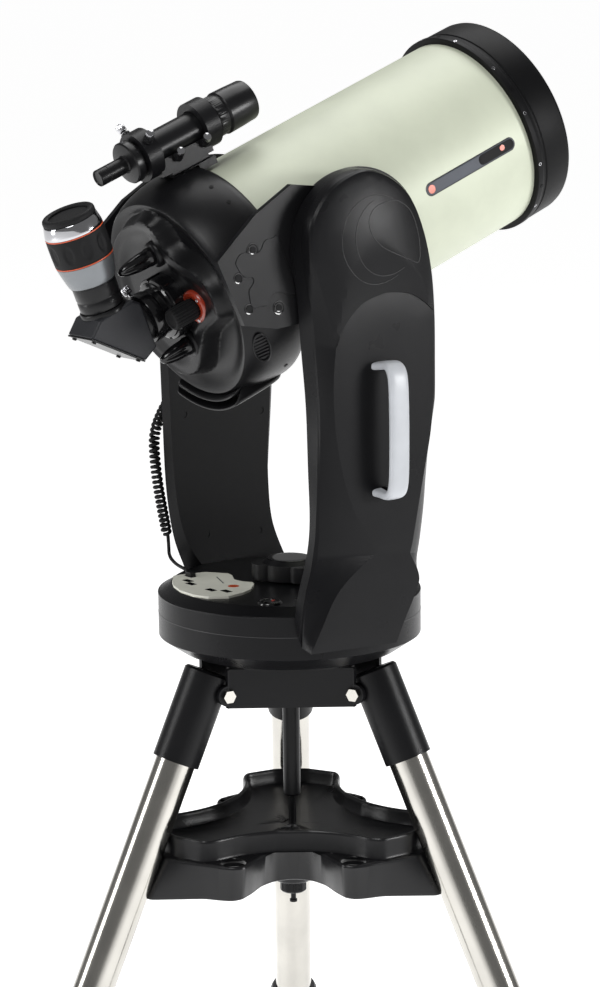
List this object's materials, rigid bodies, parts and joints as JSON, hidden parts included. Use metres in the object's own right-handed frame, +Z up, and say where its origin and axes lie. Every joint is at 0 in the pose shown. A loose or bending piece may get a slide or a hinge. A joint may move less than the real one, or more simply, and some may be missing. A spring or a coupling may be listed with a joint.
{
  "type": "telescope on a fork mount and tripod",
  "caption": "Compact reflecting telescope with a finder, in a two-arm fork mount with a round drive base, on a folding metal tripod with a tray.",
  "frame": {"origin": "on the floor, on the azimuth axis", "axes": "+Z up along the azimuth axis; X along the altitude axis, +X towards the arm with the handle; the tube points along +Y and up"},
  "size_m": [0.8129, 0.8557, 1.5211],
  "materials": {
    "black_casting": "satin textured black",
    "chrome_parts": "polished",
    "brass_gear": "machined",
    "leg_steel": "polished stainless",
    "black_rubber": "matte",
    "black_plastic": "fine textured satin",
    "panel_grey": "matte grey",
    "handle_grey": "satin light grey",
    "dark_screws": "blackened",
    "motor_metal": "as cast",
    "clear_plastic": "glossy",
    "tube_paint": "pearl metallic",
    "lens_glass": "coated",
    "black_gloss": "semi gloss black",
    "black_aluminium": "black anodised",
    "mirror_coat": "polished"
  },
  "bodies": {
    "tripod": {"tripod_head": "black_casting", "mount_plate": "black_casting", "tripod_bolts": "chrome_parts", "centre_rod": "black_casting", "azimuth_wheel": "brass_gear"},
    "leg_a": {"leg_fittings_a": "black_casting", "leg_tube_a": "leg_steel"},
    "clamp_knob_a": {"leg_knob_a": "black_plastic"},
    "extension_a": {"leg_extension_a": "leg_steel", "leg_foot_a": "black_rubber"},
    "leg_b": {"leg_fittings_b": "black_casting", "leg_tube_b": "leg_steel"},
    "clamp_knob_b": {"leg_knob_b": "black_plastic"},
    "extension_b": {"leg_extension_b": "leg_steel", "leg_foot_b": "black_rubber"},
    "leg_c": {"leg_fittings_c": "black_casting", "leg_tube_c": "leg_steel"},
    "clamp_knob_c": {"leg_knob_c": "black_plastic"},
    "extension_c": {"leg_extension_c": "leg_steel", "leg_foot_c": "black_rubber"},
    "tray": {"accessory_tray": "black_plastic"},
    "tension_knob": {"tension_knob": "black_plastic"},
    "fork": {"base_lower_shell": "black_plastic", "base_upper_shell": "black_plastic", "control_panel": "panel_grey", "near_arm_inner": "black_plastic", "near_arm_outer": "black_plastic", "far_arm_inner": "black_plastic", "far_arm_outer": "black_plastic", "carry_handle": "handle_grey", "fork_screws": "dark_screws", "drive_motors": "motor_metal", "control_cradle": "black_plastic", "hand_control": "black_plastic", "cord_coil": "black_rubber", "cord_tail": "black_rubber", "cord_plug": "clear_plastic"},
    "keypad": {"keypad": "black_rubber"},
    "power_switch": {"power_switch": "black_plastic"},
    "clutch_knob": {"clutch_knob": "black_plastic"},
    "tube": {"optical_tube": "tube_paint", "front_ring": "black_casting", "corrector_lens": "lens_glass", "secondary_cell": "black_gloss", "baffle_tube": "black_aluminium", "rear_cell": "black_casting", "tube_screws": "dark_screws", "side_brackets": "black_casting", "altitude_wheels": "brass_gear", "finder_bracket": "black_casting", "finder_tube": "black_gloss", "finder_screws": "chrome_parts", "visual_back": "black_aluminium"},
    "primary_mirror": {"primary_mirror": "mirror_coat"},
    "focus_knob": {"focus_knob": "black_rubber"},
    "mirror_lock_a": {"mirror_lock_a": "black_plastic"},
    "mirror_lock_b": {"mirror_lock_b": "black_plastic"},
    "diagonal": {"diagonal": "black_gloss"},
    "eyepiece": {"eyepiece": "black_gloss"},
    "eyecup": {"eyecup": "black_rubber"}
  },
  "joints": [
    {"name": "azimuth_turn", "type": "hinge", "parent": "tripod", "child": "fork", "pos_m": [0, 0, 0.749], "axis": [0, 0, 1], "continuous": true},
    {"name": "altitude_tilt", "type": "hinge", "parent": "fork", "child": "tube", "pos_m": [0, 0, 1.2645], "axis": [1, 0, 0], "range_deg": [-41.5, 68.5]},
    {"name": "leg_fold_a", "type": "hinge", "parent": "tripod", "child": "leg_a", "pos_m": [0.10167, 0.04698, 0.703], "axis": [0.4195, -0.9078, 0], "range_deg": [-12, 0]},
    {"name": "leg_fold_b", "type": "hinge", "parent": "tripod", "child": "leg_b", "pos_m": [-0.09152, 0.06456, 0.703], "axis": [0.5764, 0.8171, 0], "range_deg": [-12, 0]},
    {"name": "leg_fold_c", "type": "hinge", "parent": "tripod", "child": "leg_c", "pos_m": [-0.01015, -0.11154, 0.703], "axis": [-0.9959, 0.0906, 0], "range_deg": [-12, 0]},
    {"name": "tray_lower", "type": "slide", "parent": "tripod", "child": "tray", "axis": [0, 0, -1], "range_m": [0, 0.277]},
    {"name": "leg_extend_a", "type": "slide", "parent": "leg_a", "child": "extension_a", "axis": [0.3707, 0.1713, -0.9128], "range_m": [0, 0.34]},
    {"name": "clamp_turn_a", "type": "hinge", "parent": "leg_a", "child": "clamp_knob_a", "pos_m": [0.36247, 0.16748, 0.10258], "axis": [0.8287, 0.3829, 0.4083], "range_deg": [0, 270]},
    {"name": "leg_extend_b", "type": "slide", "parent": "leg_b", "child": "extension_b", "axis": [-0.3337, 0.2354, -0.9128], "range_m": [0, 0.34]},
    {"name": "clamp_turn_b", "type": "hinge", "parent": "leg_b", "child": "clamp_knob_b", "pos_m": [-0.32628, 0.23016, 0.10258], "axis": [-0.7459, 0.5262, 0.4083], "range_deg": [0, 270]},
    {"name": "leg_extend_c", "type": "slide", "parent": "leg_c", "child": "extension_c", "axis": [-0.037, -0.4066, -0.9128], "range_m": [0, 0.34]},
    {"name": "clamp_turn_c", "type": "hinge", "parent": "leg_c", "child": "clamp_knob_c", "pos_m": [-0.03619, -0.39765, 0.10258], "axis": [-0.0827, -0.9091, 0.4083], "range_deg": [0, 270]},
    {"name": "tension_turn", "type": "hinge", "parent": "tray", "child": "tension_knob", "pos_m": [0, 0, 0.427], "axis": [0, 0, 1], "continuous": true},
    {"name": "key_press", "type": "slide", "parent": "fork", "child": "keypad", "axis": [1, 0, 0], "range_m": [0, 0.0008], "stiffness_N_per_m": 800},
    {"name": "power_rock", "type": "hinge", "parent": "fork", "child": "power_switch", "pos_m": [0.092, -0.095, 0.83], "axis": [1, 0, 0], "range_deg": [-7, 7]},
    {"name": "azimuth_clutch", "type": "hinge", "parent": "fork", "child": "clutch_knob", "pos_m": [0, 0, 0.837], "axis": [0, 0, 1], "range_deg": [0, 90]},
    {"name": "mirror_shift", "type": "slide", "parent": "tube", "child": "primary_mirror", "axis": [0, 0.9304, 0.3665], "range_m": [-0.01, 0.01]},
    {"name": "focus_turn", "type": "hinge", "parent": "tube", "child": "focus_knob", "pos_m": [0.0545, -0.18645, 1.19213], "axis": [0, 0.9304, 0.3665], "range_deg": [-4801, 4801]},
    {"name": "mirror_lock_turn_a", "type": "hinge", "parent": "tube", "child": "mirror_lock_a", "pos_m": [0.003, -0.21027, 1.25261], "axis": [0, 0.9304, 0.3665], "range_deg": [0, 270]},
    {"name": "mirror_lock_turn_b", "type": "hinge", "parent": "tube", "child": "mirror_lock_b", "pos_m": [0.016, -0.16703, 1.14282], "axis": [0, 0.9304, 0.3665], "range_deg": [0, 270]},
    {"name": "diagonal_turn", "type": "hinge", "parent": "tube", "child": "diagonal", "pos_m": [0, -0.20469, 1.18387], "axis": [0, 0.9304, 0.3665], "range_deg": [-30, 30]},
    {"name": "eyepiece_lift", "type": "slide", "parent": "diagonal", "child": "eyepiece", "axis": [0, -0.3665, 0.9304], "range_m": [0, 0.034]},
    {"name": "eyecup_lift", "type": "slide", "parent": "eyepiece", "child": "eyecup", "axis": [0, -0.3665, 0.9304], "range_m": [0, 0.008]}
  ],
  "couplings": [
    {"joint": "leg_fold_b", "follows": "leg_fold_a", "ratio": 1},
    {"joint": "leg_fold_c", "follows": "leg_fold_a", "ratio": 1},
    {"joint": "tray_lower", "follows": "leg_fold_a", "m_per_rad": -1.318},
    {"joint": "focus_turn", "follows": "mirror_shift", "rad_per_m": 8377.6}
  ]
}
